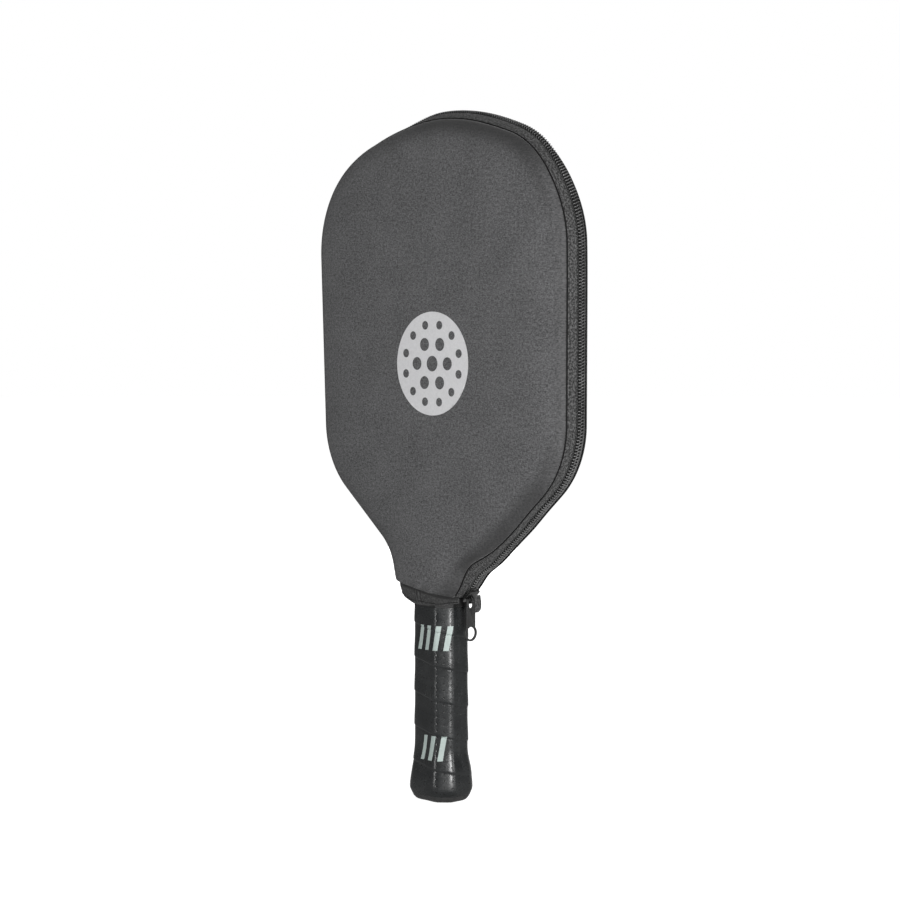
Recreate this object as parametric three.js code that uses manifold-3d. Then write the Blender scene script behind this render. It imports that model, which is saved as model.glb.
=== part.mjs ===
// A racket sports paddle zipped into its soft padded case, with the grip sticking out below.
// Millimetres. +Z runs up the handle, -Y is the front of the case, +X is the zip side.
// The origin is the centre of the butt's flat bottom face.

import * as THREE from "three";
import Module from "manifold-3d";

const wasm = await Module();
wasm.setup();

// ---------------------------------------------------------------- driving dimensions

const GAP = 0.3; // between pieces that touch

// Case outline at the seams, as corners [x, z, rounding], from the mouth up the left side,
// over the top and down the zip side. It starts and ends below the mouth, where it is cut.
const CASE_CORNERS = [
  [-25.4, 112, 0],
  [-35.5, 152, 33],
  [-96, 202.5, 55],
  [-103, 383.5, 70],
  [6, 423, 165],
  [112, 385.5, 70],
  [111.5, 206.5, 55],
  [7.7, 115.1, 0],
];
const CASE_STEPS = 96; // stations round the outline
const MOUTH_LEFT = [-31, 134]; // x, z of the mouth edge, which slopes down to the zip side
const MOUTH_RIGHT = [19, 125.5];
const SEAM_Y = 8; // the panels' seams lie this far in front of and behind the middle
const PANEL_Y = 13.5; // outer face of each panel
const PANEL_WALL = 2.6;

// The front panel folds open along a crease, from beside the mouth to the end of the zip.
const CREASE_LOW = [-25, 118]; // x, z
const CREASE_HIGH = [-38, 412];

// Zip, laid along the outline: out from the seam line, and across from ZIP_Y.
const ZIP_Y = 0.5;
const ZIP_START_X = -37.3; // where the zip begins, on top of the case
const TAPE_THICK = 0.6;
const CHAIN_GAP = 0.7; // from the middle of the chain to either coil
const COIL_WIDTH = 2.5;
const COIL_BOTTOM = 0.9;
const COIL_TOP = 2.5;
const STOP_LENGTH = 2.5;
const MOUTH_TO_END = 15; // outline left over below the mouth on the zip side
const TAIL_WIDTH = 5.2; // the tape's loose end, beside the slider
const TAIL_LENGTH = 10.5;
const TAIL_THICK = 1;
const TAIL_ROUND = 2.2; // of its lower corners
const TAIL_X = 21.2;
const TAIL_Y = 7.1;
const TAIL_LOW = 115.5;

// Slider, along the zip from the mouth
const SLIDER_START = 0.8;
const SLIDER_LENGTH = 10.2;
const SLIDER_HALF_WIDTH = 4.5;
const PLATE_THICK = 0.9;
const FLANGE_THICK = 0.75;
const FLANGE_BOTTOM = 1.5;
const POST_HALF_WIDTH = 0.4;
const POST_LENGTH = 3;
const CROWN_AT = 4; // middle of the crown, along the zip
const CROWN_HALF_LENGTH = 2.4;
const CROWN_HALF_WIDTH = 0.9;
const CROWN_WALL = 0.9;
const PIVOT_OUT = 4.7; // the pull tab's bar, out from the seam line
const CROWN_INSIDE_OUT = 5.7;

// Pull tab
const TAB_THICK = 1.2;
const TAB_LENGTH = 25.5;
const TAB_TOP_HALF = 3;
const TAB_STEM_HALF = 3.5;
const TAB_END_RADIUS = 4.9;
const TAB_HOLE_RADIUS = 3.8;
const TAB_BAR = 1;
const TAB_SLOT_HALF = 1.7;
const TAB_SLOT_LENGTH = 5;

// Collar round the mouth
const COLLAR_X = -5;
const COLLAR_HALF_X = 25.5;
const COLLAR_HALF_Y = 17.3;
const COLLAR_THICK = 2;
const COLLAR_BOTTOM = 120;
const COLLAR_POWER = 4; // squareness of its plan

// Paddle blade, as corners [x, z, rounding] of its left half
const BLADE_HALF_WIDTH = 91;
const BLADE_CORNERS = [
  [-15, 127.3, 0],
  [-19, 145, 24],
  [-BLADE_HALF_WIDTH, 206, 50],
  [-BLADE_HALF_WIDTH, 380, 62],
  [0, 413.5, 140],
];
const BLADE_ARC_STEPS = 6;
const CORE_HALF_THICK = 7;
const FACE_THICK = 0.7;
const GUARD_OUT = 1.6;
const GUARD_LIP = 4;
const GUARD_THICK = 0.6;
const GUARD_START = 26; // from the handle to where the guard begins
const GUARD_STEPS = 72; // stations along it

// Handle
const HANDLE_TOP = 127;
const TONGUE_HALF = 11; // the core's tongue inside the handle
const SHELL = { x: 15, y: 12, bevel: 6.5 };
const CAP_FLOOR = 3;
const CAP_TOP = 14;
const GRIP_LOW = 2.3;
const GRIP_TOP = 118.7;
const BAND_LOW = 119;
const BAND_TOP = 126;
const GRIP_BEVEL = 7.7;

// ---------------------------------------------------------------- outlines

// A path of straight lines with rounded corners.
function roundedPath(corners) {
  const path = new THREE.Path();
  path.moveTo(corners[0][0], corners[0][1]);
  for (let i = 1; i < corners.length - 1; i += 1) {
    const [x, z, radius] = corners[i];
    const corner = new THREE.Vector2(x, z);
    const back = new THREE.Vector2(...corners[i - 1].slice(0, 2)).sub(corner).normalize();
    const on = new THREE.Vector2(...corners[i + 1].slice(0, 2)).sub(corner).normalize();
    const half = Math.acos(back.dot(on)) / 2;
    const run = radius / Math.tan(half);
    const centre = corner.clone().addScaledVector(
      back.clone().add(on).normalize(), radius / Math.sin(half));
    const from = corner.clone().addScaledVector(back, run).sub(centre);
    const to = corner.clone().addScaledVector(on, run).sub(centre);
    path.absarc(centre.x, centre.y, radius, from.angle(), to.angle(), from.cross(to) < 0);
  }
  const end = corners[corners.length - 1];
  path.lineTo(end[0], end[1]);
  path.arcLengthDivisions = 2000;
  return path;
}

// The point at a distance along a path, moved out square to it. Out is left of the way it runs.
function pointOn(path, along, out) {
  const u = THREE.MathUtils.clamp(along / path.getLength(), 0, 1);
  const point = path.getPointAt(u);
  const way = path.getTangentAt(u);
  return new THREE.Vector2(point.x - way.y * out, point.y + way.x * out);
}

// The distance along a path at which it first passes x, searched from a starting distance.
function alongAtX(path, x, from) {
  let along = from;
  while (pointOn(path, along, 0).x < x) {
    along += 0.1;
  }
  return along;
}

// ---------------------------------------------------------------- solids

function geometryFrom(points, triangles) {
  const geometry = new THREE.BufferGeometry();
  geometry.setAttribute("position", new THREE.Float32BufferAttribute(points, 3));
  geometry.setIndex(triangles);
  return geometry;
}

// A closed solid through rings of points. Each ring is a list of Vector3 in the same order.
// The end rings are closed by flat caps, or joined to each other if looped is true.
// flatten gives the two coordinates in which a cap is triangulated.
function loft(rings, flatten, looped = false) {
  const count = rings[0].length;
  const points = rings.flat().flatMap((p) => [p.x, p.y, p.z]);
  const triangles = [];
  const bands = looped ? rings.length : rings.length - 1;
  for (let r = 0; r < bands; r += 1) {
    const low = r * count;
    const high = ((r + 1) % rings.length) * count;
    for (let i = 0; i < count; i += 1) {
      const j = (i + 1) % count;
      triangles.push(low + i, low + j, high + j, low + i, high + j, high + i);
    }
  }
  if (!looped) {
    for (const r of [0, rings.length - 1]) {
      const outline = rings[r].map((p) => new THREE.Vector2(...flatten(p)));
      const turns = (THREE.ShapeUtils.area(outline) > 0) === (r === 0);
      for (const [a, b, c] of THREE.ShapeUtils.triangulateShape(outline, [])) {
        const [second, third] = turns ? [c, b] : [b, c];
        triangles.push(r * count + a, r * count + second, r * count + third);
      }
    }
  }
  return facingOut(geometryFrom(points, triangles));
}

// Turns a closed solid's faces outward.
function facingOut(geometry) {
  const position = geometry.getAttribute("position");
  const index = geometry.getIndex();
  const a = new THREE.Vector3();
  const b = new THREE.Vector3();
  const c = new THREE.Vector3();
  let volume = 0;
  for (let i = 0; i < index.count; i += 3) {
    a.fromBufferAttribute(position, index.getX(i));
    b.fromBufferAttribute(position, index.getX(i + 1));
    c.fromBufferAttribute(position, index.getX(i + 2));
    volume += a.dot(b.cross(c));
  }
  if (volume < 0) {
    const flipped = [];
    for (let i = 0; i < index.count; i += 3) {
      flipped.push(index.getX(i), index.getX(i + 2), index.getX(i + 1));
    }
    geometry.setIndex(flipped);
  }
  return geometry;
}

// A section, a list of [out, y], carried along a path in the X-Z plane.
function carry(path, from, to, steps, section) {
  const rings = [];
  for (let k = 0; k <= steps; k += 1) {
    const along = from + ((to - from) * k) / steps;
    rings.push(section.map(([out, y]) => {
      const p = pointOn(path, along, out);
      return new THREE.Vector3(p.x, y, p.y);
    }));
  }
  return loftSection(rings, section);
}

// As loft, with the caps triangulated in the section's own coordinates.
function loftSection(rings, section) {
  const flat = new Map();
  for (const ring of [rings[0], rings[rings.length - 1]]) {
    ring.forEach((point, i) => flat.set(point, section[i]));
  }
  return loft(rings, (point) => flat.get(point));
}

function toManifold(geometry) {
  const flat = geometry.index ? geometry.toNonIndexed() : geometry;
  const position = flat.getAttribute("position");
  const keys = new Map();
  const vertices = [];
  const corners = [];
  for (let i = 0; i < position.count; i += 1) {
    const p = [position.getX(i), position.getY(i), position.getZ(i)];
    const key = p.map((value) => value.toFixed(4)).join();
    if (!keys.has(key)) {
      keys.set(key, vertices.length / 3);
      vertices.push(...p);
    }
    corners.push(keys.get(key));
  }
  return new wasm.Manifold(new wasm.Mesh({
    numProp: 3,
    vertProperties: new Float32Array(vertices),
    triVerts: new Uint32Array(corners),
  }));
}

function fromManifold(solid) {
  const mesh = solid.getMesh();
  return geometryFrom(Array.from(mesh.vertProperties), Array.from(mesh.triVerts));
}

// All the space on one side of a plane that holds the Y direction and passes two points
// [x, z], moved by shift to its left as seen going from the first point to the second.
function leftOf(first, second, shift) {
  const size = 1200;
  const way = new THREE.Vector2(second[0] - first[0], second[1] - first[1]);
  const box = new THREE.BoxGeometry(size, size, size);
  box.translate(0, 0, size / 2 + shift);
  box.rotateY(-way.angle());
  box.translate(first[0], 0, first[1]);
  return toManifold(box);
}

function keep(geometry, ...spaces) {
  let solid = toManifold(geometry);
  for (const space of spaces) {
    solid = solid.intersect(space);
  }
  return fromManifold(solid);
}

function cut(geometry, tool) {
  return fromManifold(toManifold(geometry).subtract(toManifold(tool)));
}

// A block standing on the zip's straight stretch: along, across and out ranges.
function zipBlock([from, to], [left, right], [low, high]) {
  const box = new THREE.BoxGeometry(to - from, right - left, high - low);
  box.translate((from + to) / 2, ZIP_Y + (left + right) / 2, (low + high) / 2);
  return box;
}

// ---------------------------------------------------------------- shared shapes

const casePath = roundedPath(CASE_CORNERS);
const caseLength = casePath.getLength();
const zipStart = alongAtX(casePath, ZIP_START_X, caseLength * 0.35);
const mouthSide = caseLength - MOUTH_TO_END; // the zip side's end of the mouth
const aboveMouth = leftOf(MOUTH_LEFT, MOUTH_RIGHT, 0);
const besideCrease = leftOf(CREASE_LOW, CREASE_HIGH, GAP / 2);
const flapSide = leftOf(CREASE_HIGH, CREASE_LOW, GAP / 2);

// A dish whose rim is at the seam: the shape of either panel. side is -1 for the front.
function panelDish(side) {
  const outer = [[10, PANEL_Y], [4.5, 12.8], [1.6, 11.4], [0.4, 9.8], [0.2, SEAM_Y]];
  const inner = [[3, SEAM_Y], [3.3, 9.2], [5.6, 10.4], [10.5, PANEL_Y - PANEL_WALL]];
  const rings = [...outer, ...inner].map(([inset, y]) => {
    const ring = [];
    for (let k = 0; k <= CASE_STEPS; k += 1) {
      const p = pointOn(casePath, (caseLength * k) / CASE_STEPS, -inset);
      ring.push(new THREE.Vector3(p.x, side * y, p.y));
    }
    return ring;
  });
  return loft(rings, (p) => [p.x, p.z]);
}

function octagon(halfX, halfY, bevel, z) {
  const x = halfX - bevel;
  const y = halfY - bevel;
  return [
    [halfX, y], [x, halfY], [-x, halfY], [-halfX, y],
    [-halfX, -y], [-x, -halfY], [x, -halfY], [halfX, -y],
  ].map(([px, py]) => new THREE.Vector3(px, py, z));
}

const inPlan = (p) => [p.x, p.y];

// ---------------------------------------------------------------- case pieces

function backPanel() {
  return keep(panelDish(1), aboveMouth);
}

function frontPanelLeft() {
  return keep(panelDish(-1), aboveMouth, besideCrease);
}

function frontFlap() {
  return keep(panelDish(-1), aboveMouth, flapSide);
}

// The band down the plain side, from the end of the zip to the mouth.
function sideGusset() {
  const edge = SEAM_Y - GAP;
  const section = [
    [-2, -edge], [-0.2, -edge], [1.2, -4], [1.6, 0], [1.2, 4], [-0.2, edge], [-2, edge],
  ];
  return keep(carry(casePath, 0, zipStart - GAP, 44, section), aboveMouth);
}

// One half of the zip's woven tape. side is -1 for the front half.
function zipperTape(side) {
  const edge = side * (SEAM_Y - GAP);
  const middle = ZIP_Y + side * CHAIN_GAP;
  const section = [[0, edge], [TAPE_THICK, edge], [TAPE_THICK, middle], [0, middle]];
  return keep(carry(casePath, zipStart, caseLength, 56, section), aboveMouth);
}

// One coil of the zip. The front one starts above the slider at rest.
function zipperCoil(side, end) {
  const inner = ZIP_Y + side * CHAIN_GAP;
  const outer = inner + side * COIL_WIDTH;
  const section = [
    [COIL_BOTTOM, inner], [COIL_TOP, inner], [COIL_TOP, outer], [COIL_BOTTOM, outer],
  ];
  const start = zipStart + STOP_LENGTH + 2 * GAP;
  return carry(casePath, start, end, 56, section);
}

// The stop that joins both halves where the zip begins.
function bottomStop() {
  const half = CHAIN_GAP + COIL_WIDTH;
  const section = [
    [COIL_BOTTOM, ZIP_Y - half], [COIL_TOP, ZIP_Y - half],
    [COIL_TOP, ZIP_Y + half], [COIL_BOTTOM, ZIP_Y + half],
  ];
  const from = zipStart + GAP;
  return carry(casePath, from, from + STOP_LENGTH, 2, section);
}

// The end of the back tape, folded out and hanging beside the slider.
function tapeTail() {
  const shape = new THREE.Shape();
  shape.moveTo(0, TAIL_LENGTH);
  shape.lineTo(0, TAIL_ROUND);
  shape.absarc(TAIL_ROUND, TAIL_ROUND, TAIL_ROUND, Math.PI, 1.5 * Math.PI, false);
  shape.absarc(TAIL_WIDTH - TAIL_ROUND, TAIL_ROUND, TAIL_ROUND, 1.5 * Math.PI, 2 * Math.PI, false);
  shape.lineTo(TAIL_WIDTH, TAIL_LENGTH);
  const tail = new THREE.ExtrudeGeometry(
    shape, { depth: TAIL_THICK, bevelEnabled: false, curveSegments: 4 });
  tail.rotateX(Math.PI / 2);
  tail.rotateZ(Math.PI / 2);
  tail.translate(TAIL_X, TAIL_Y, TAIL_LOW);
  return tail;
}

// Part of the band round the mouth, between two angles of its plan.
function collar(from, to, steps) {
  const plan = (angle, inset) => {
    const power = 2 / COLLAR_POWER;
    const c = Math.cos(angle);
    const s = Math.sin(angle);
    return [
      COLLAR_X + (COLLAR_HALF_X - inset) * Math.sign(c) * Math.abs(c) ** power,
      (COLLAR_HALF_Y - inset) * Math.sign(s) * Math.abs(s) ** power,
    ];
  };
  const slope = (MOUTH_RIGHT[1] - MOUTH_LEFT[1]) / (MOUTH_RIGHT[0] - MOUTH_LEFT[0]);
  const rings = [];
  for (let k = 0; k <= steps; k += 1) {
    const angle = from + ((to - from) * k) / steps;
    const [x0, y0] = plan(angle, COLLAR_THICK);
    const [x1, y1] = plan(angle, 0);
    const top = (x) => MOUTH_LEFT[1] + slope * (x - MOUTH_LEFT[0]) - GAP;
    rings.push([
      new THREE.Vector3(x0, y0, COLLAR_BOTTOM), new THREE.Vector3(x1, y1, COLLAR_BOTTOM),
      new THREE.Vector3(x1, y1, top(x1)), new THREE.Vector3(x0, y0, top(x0)),
    ]);
  }
  return loftSection(rings, [[0, 0], [1, 0], [1, 1], [0, 1]]);
}

// The angle at which the collar's plan reaches a given distance across, on the zip side.
function collarAngleAt(y) {
  return Math.sign(y) * Math.asin((Math.abs(y) / COLLAR_HALF_Y) ** (COLLAR_POWER / 2));
}

// The angle on the collar's front at which its plan crosses the crease.
function collarCreaseAngle() {
  const across = (COLLAR_X - CREASE_LOW[0]) / COLLAR_HALF_X;
  return -Math.PI + Math.acos(across ** (COLLAR_POWER / 2));
}

// ---------------------------------------------------------------- slider and pull tab

// Places what is drawn with X along the zip and Z out of it at the zip's lower end.
function ontoZip(geometry) {
  const low = pointOn(casePath, mouthSide, 0);
  const high = pointOn(casePath, mouthSide - SLIDER_LENGTH, 0);
  const way = high.clone().sub(low).normalize();
  const basis = new THREE.Matrix4().makeBasis(
    new THREE.Vector3(way.x, 0, way.y),
    new THREE.Vector3(0, 1, 0),
    new THREE.Vector3(way.y, 0, -way.x));
  // The basis above is left-handed, so the faces are turned again after it is used.
  geometry.applyMatrix4(basis);
  geometry.translate(low.x, 0, low.y);
  return facingOut(indexed(geometry));
}

function indexed(geometry) {
  if (geometry.index) {
    return geometry;
  }
  geometry.setIndex([...Array(geometry.getAttribute("position").count).keys()]);
  return geometry;
}

function join(...geometries) {
  let solid = toManifold(geometries[0]);
  for (const geometry of geometries.slice(1)) {
    solid = solid.add(toManifold(geometry));
  }
  return fromManifold(solid);
}

// A plate drawn along and across the zip, narrower where the two coils come together.
function sliderPlate(low, high) {
  const end = SLIDER_START + SLIDER_LENGTH;
  const wide = SLIDER_HALF_WIDTH;
  const round = 2;
  const shape = new THREE.Shape();
  shape.moveTo(SLIDER_START + round, -wide);
  shape.lineTo(end - round / 2, -wide + 0.5);
  shape.lineTo(end, -wide + 1.2);
  shape.lineTo(end, wide - 1.2);
  shape.lineTo(end - round / 2, wide - 0.5);
  shape.lineTo(SLIDER_START + round, wide);
  shape.absarc(SLIDER_START + round, wide - round, round, Math.PI / 2, Math.PI, false);
  shape.absarc(SLIDER_START + round, -wide + round, round, Math.PI, 1.5 * Math.PI, false);
  const plate = new THREE.ExtrudeGeometry(
    shape, { depth: high - low, bevelEnabled: false, curveSegments: 5 });
  plate.translate(0, ZIP_Y, low);
  return plate;
}

const plateTop = COIL_TOP + GAP + PLATE_THICK; // outer face of the slider

function sliderBody() {
  const end = SLIDER_START + SLIDER_LENGTH;
  const wide = SLIDER_HALF_WIDTH - 0.5;
  const pieces = [
    sliderPlate(-GAP - PLATE_THICK, -GAP),
    sliderPlate(COIL_TOP + GAP, plateTop),
    zipBlock(
      [SLIDER_START + 0.2, SLIDER_START + POST_LENGTH],
      [-POST_HALF_WIDTH, POST_HALF_WIDTH],
      [-GAP - 0.1, COIL_TOP + GAP + 0.1]),
  ];
  for (const side of [-1, 1]) {
    const across = [side * wide, side * (wide - FLANGE_THICK)].sort((a, b) => a - b);
    pieces.push(zipBlock(
      [SLIDER_START + 2, end - 1], across, [FLANGE_BOTTOM, COIL_TOP + GAP + 0.1]));
  }
  return ontoZip(join(...pieces));
}

// The arch on the slider that holds the pull tab.
function sliderCrown() {
  const low = plateTop + GAP / 10;
  const high = CROWN_INSIDE_OUT + CROWN_WALL;
  const shape = new THREE.Shape();
  const inside = CROWN_HALF_LENGTH - CROWN_WALL;
  shape.moveTo(-CROWN_HALF_LENGTH, low);
  shape.lineTo(-inside, low);
  shape.lineTo(-inside, CROWN_INSIDE_OUT);
  shape.lineTo(inside, CROWN_INSIDE_OUT);
  shape.lineTo(inside, low);
  shape.lineTo(CROWN_HALF_LENGTH, low);
  shape.lineTo(CROWN_HALF_LENGTH, high - 1);
  shape.lineTo(CROWN_HALF_LENGTH - 1, high);
  shape.lineTo(-CROWN_HALF_LENGTH + 1, high);
  shape.lineTo(-CROWN_HALF_LENGTH, high - 1);
  const arch = new THREE.ExtrudeGeometry(
    shape, { depth: 2 * CROWN_HALF_WIDTH, bevelEnabled: false });
  arch.rotateX(Math.PI / 2);
  arch.translate(CROWN_AT, ZIP_Y + CROWN_HALF_WIDTH, 0);
  return ontoZip(arch);
}

// A flat plate with a slot for the crown and a large round hole, hanging straight down.
function pullTab() {
  const bottom = -TAB_LENGTH + TAB_BAR / 2;
  const centre = bottom + TAB_END_RADIUS;
  const shoulder = Math.acos(TAB_STEM_HALF / TAB_END_RADIUS);
  const shape = new THREE.Shape();
  shape.moveTo(-TAB_TOP_HALF, TAB_BAR / 2);
  shape.lineTo(-TAB_STEM_HALF, -TAB_SLOT_LENGTH);
  shape.absarc(0, centre, TAB_END_RADIUS, Math.PI - shoulder, 2 * Math.PI + shoulder, false);
  shape.lineTo(TAB_STEM_HALF, -TAB_SLOT_LENGTH);
  shape.lineTo(TAB_TOP_HALF, TAB_BAR / 2);
  const slot = new THREE.Path();
  slot.moveTo(-TAB_SLOT_HALF, -TAB_BAR / 2);
  slot.lineTo(TAB_SLOT_HALF, -TAB_BAR / 2);
  slot.absarc(0, -TAB_SLOT_LENGTH + TAB_SLOT_HALF, TAB_SLOT_HALF, 0, Math.PI, true);
  shape.holes.push(slot);
  const hole = new THREE.Path();
  hole.absarc(0, centre, TAB_HOLE_RADIUS, 0, 2 * Math.PI, true);
  shape.holes.push(hole);
  const tab = new THREE.ExtrudeGeometry(
    shape, { depth: TAB_THICK, bevelEnabled: false, curveSegments: 12 });
  tab.translate(0, 0, -TAB_THICK / 2);
  tab.rotateX(Math.PI / 2);
  tab.rotateZ(Math.PI / 2);
  const pivot = pointOn(casePath, mouthSide - CROWN_AT, PIVOT_OUT);
  tab.translate(pivot.x, ZIP_Y, pivot.y);
  return tab;
}

// ---------------------------------------------------------------- paddle

// The blade's edge, from one side of the handle round to the other.
const bladePath = roundedPath([
  ...BLADE_CORNERS,
  ...BLADE_CORNERS.slice(0, -1).reverse().map(([x, z, radius]) => [-x, z, radius]),
]);

const bladeOutline = bladePath.getPoints(BLADE_ARC_STEPS);

// Extrudes an X-Z outline from one Y to another.
function slab(points, from, to) {
  const slabGeometry = new THREE.ExtrudeGeometry(
    new THREE.Shape(points), { depth: to - from, bevelEnabled: false });
  slabGeometry.rotateX(Math.PI / 2);
  slabGeometry.translate(0, to, 0);
  return slabGeometry;
}

// The honeycomb core, with the tongue that runs down inside the handle.
function paddleCore() {
  const tongueLow = CAP_FLOOR + GAP;
  const bottom = BLADE_CORNERS[0][1];
  const points = [
    new THREE.Vector2(-TONGUE_HALF, bottom),
    ...bladeOutline,
    new THREE.Vector2(TONGUE_HALF, bottom),
    new THREE.Vector2(TONGUE_HALF, tongueLow),
    new THREE.Vector2(-TONGUE_HALF, tongueLow),
  ];
  return slab(points, -CORE_HALF_THICK, CORE_HALF_THICK);
}

function paddleFace(side) {
  const near = side * (CORE_HALF_THICK + GAP);
  const far = near + side * FACE_THICK;
  return slab(bladeOutline, Math.min(near, far), Math.max(near, far));
}

// The channel that wraps the blade's edge.
function edgeGuard() {
  const lipIn = CORE_HALF_THICK + FACE_THICK + 2 * GAP;
  const lipOut = lipIn + GUARD_THICK;
  const section = [
    [-GUARD_LIP, -lipOut], [GUARD_OUT, -lipOut], [GUARD_OUT, lipOut], [-GUARD_LIP, lipOut],
    [-GUARD_LIP, lipIn], [GAP, lipIn], [GAP, -lipIn], [-GUARD_LIP, -lipIn],
  ];
  return carry(
    bladePath, GUARD_START, bladePath.getLength() - GUARD_START, GUARD_STEPS, section);
}

// Half of the handle's foam shell, round the core's tongue.
function handleShell(side) {
  const { x, y, bevel } = SHELL;
  const inX = TONGUE_HALF + GAP;
  const inY = CORE_HALF_THICK + GAP;
  const split = GAP / 2;
  const points = [
    [-x, split], [-x, y - bevel], [-x + bevel, y], [x - bevel, y], [x, y - bevel], [x, split],
    [inX, split], [inX, inY], [-inX, inY], [-inX, split],
  ].map(([px, py]) => new THREE.Vector2(px, side * py));
  const shell = new THREE.ExtrudeGeometry(
    new THREE.Shape(points), { depth: HANDLE_TOP - CAP_FLOOR - GAP, bevelEnabled: false });
  shell.translate(0, 0, CAP_FLOOR + GAP);
  return shell;
}

// The moulded cap over the handle's end, with the flange that the grip stops against.
function buttCap() {
  const outside = loft([
    octagon(17.3, 14.3, GRIP_BEVEL, 0),
    octagon(18.5, 15.5, GRIP_BEVEL, 1),
    octagon(18.5, 15.5, GRIP_BEVEL, 2),
    octagon(16.7, 13.7, SHELL.bevel + 0.7, 2),
    octagon(16.7, 13.7, SHELL.bevel + 0.7, CAP_TOP),
  ], inPlan);
  const inside = loft([
    octagon(SHELL.x + GAP, SHELL.y + GAP, SHELL.bevel, CAP_FLOOR),
    octagon(SHELL.x + GAP, SHELL.y + GAP, SHELL.bevel, CAP_TOP + 1),
  ], inPlan);
  return cut(outside, inside);
}

// The cushioned wrap, flared over the butt cap.
function gripWrap() {
  return loft([
    octagon(18.8, 15.8, GRIP_BEVEL + 0.1, GRIP_LOW),
    octagon(19, 16, GRIP_BEVEL + 0.1, 7),
    octagon(18.3, 15.3, GRIP_BEVEL + 0.1, CAP_TOP),
    octagon(17.1, 14.1, GRIP_BEVEL, 22),
    octagon(17, 14, GRIP_BEVEL, GRIP_TOP),
    octagon(SHELL.x + GAP, SHELL.y + GAP, SHELL.bevel, GRIP_TOP),
    octagon(SHELL.x + GAP, SHELL.y + GAP, SHELL.bevel, 19),
    octagon(17, 14, SHELL.bevel + 0.7, CAP_TOP + 0.6),
    octagon(17, 14, SHELL.bevel + 0.7, GRIP_LOW),
  ], inPlan, true);
}

// The tape that holds down the wrap's upper end, inside the collar.
function gripBand() {
  return loft([
    octagon(16.8, 13.8, GRIP_BEVEL, BAND_LOW),
    octagon(16.8, 13.8, GRIP_BEVEL, BAND_TOP),
    octagon(SHELL.x + GAP, SHELL.y + GAP, SHELL.bevel, BAND_TOP),
    octagon(SHELL.x + GAP, SHELL.y + GAP, SHELL.bevel, BAND_LOW),
  ], inPlan, true);
}

// ---------------------------------------------------------------- assembly

const part = new THREE.Group();

function add(name, geometry, [color, roughness, metalness]) {
  const material = new THREE.MeshStandardMaterial({ color, roughness, metalness });
  const mesh = new THREE.Mesh(geometry, material);
  mesh.name = name;
  part.add(mesh);
}

const CLOTH = [0x47474a, 0.8, 0];
const WEBBING = [0x2c2c2e, 0.85, 0];
const NYLON = [0x4a4a48, 0.55, 0];
const BLACK_METAL = [0x141416, 0.4, 0.6];
const CARBON = [0x2a2a2c, 0.6, 0];
const FOAM = [0x8c8a82, 0.9, 0];
const HONEYCOMB = [0xc9c6bd, 0.7, 0];
const BLACK_PLASTIC = [0x161718, 0.5, 0];
const GRIP = [0x2b2f2e, 0.6, 0];

const sliderTop = mouthSide - SLIDER_START - SLIDER_LENGTH;
const frontRight = collarAngleAt(ZIP_Y - SLIDER_HALF_WIDTH - GAP);
const backRight = collarAngleAt(ZIP_Y + SLIDER_HALF_WIDTH + 2 * GAP);
const creaseAngle = collarCreaseAngle();
const creaseGap = 0.004;

add("back_panel", backPanel(), CLOTH);
add("front_panel_fixed_strip", frontPanelLeft(), CLOTH);
add("front_panel_flap", frontFlap(), CLOTH);
add("side_gusset", sideGusset(), CLOTH);
add("zipper_tape_back", zipperTape(1), WEBBING);
add("zipper_tape_front", zipperTape(-1), WEBBING);
add("zipper_coil_back", zipperCoil(1, mouthSide - SLIDER_START), NYLON);
add("zipper_coil_front", zipperCoil(-1, sliderTop - GAP), NYLON);
add("zipper_bottom_stop", bottomStop(), BLACK_METAL);
add("zipper_tape_tail", tapeTail(), WEBBING);
add("collar_front", collar(creaseAngle + creaseGap, frontRight, 18), WEBBING);
add("collar_back", collar(backRight, 2 * Math.PI + creaseAngle - creaseGap, 26), WEBBING);
add("slider_body", sliderBody(), BLACK_METAL);
add("slider_crown", sliderCrown(), BLACK_METAL);
add("pull_tab", pullTab(), BLACK_METAL);
add("paddle_core", paddleCore(), HONEYCOMB);
add("paddle_face_front", paddleFace(-1), CARBON);
add("paddle_face_back", paddleFace(1), CARBON);
add("edge_guard", edgeGuard(), BLACK_PLASTIC);
add("handle_shell_front", handleShell(-1), FOAM);
add("handle_shell_back", handleShell(1), FOAM);
add("butt_cap", buttCap(), BLACK_PLASTIC);
add("grip_wrap", gripWrap(), GRIP);
add("grip_finishing_tape", gripBand(), BLACK_PLASTIC);

export default part;
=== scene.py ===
import math

import bmesh
import bpy
import numpy as np
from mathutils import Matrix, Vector, noise
from mathutils.bvhtree import BVHTree


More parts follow.
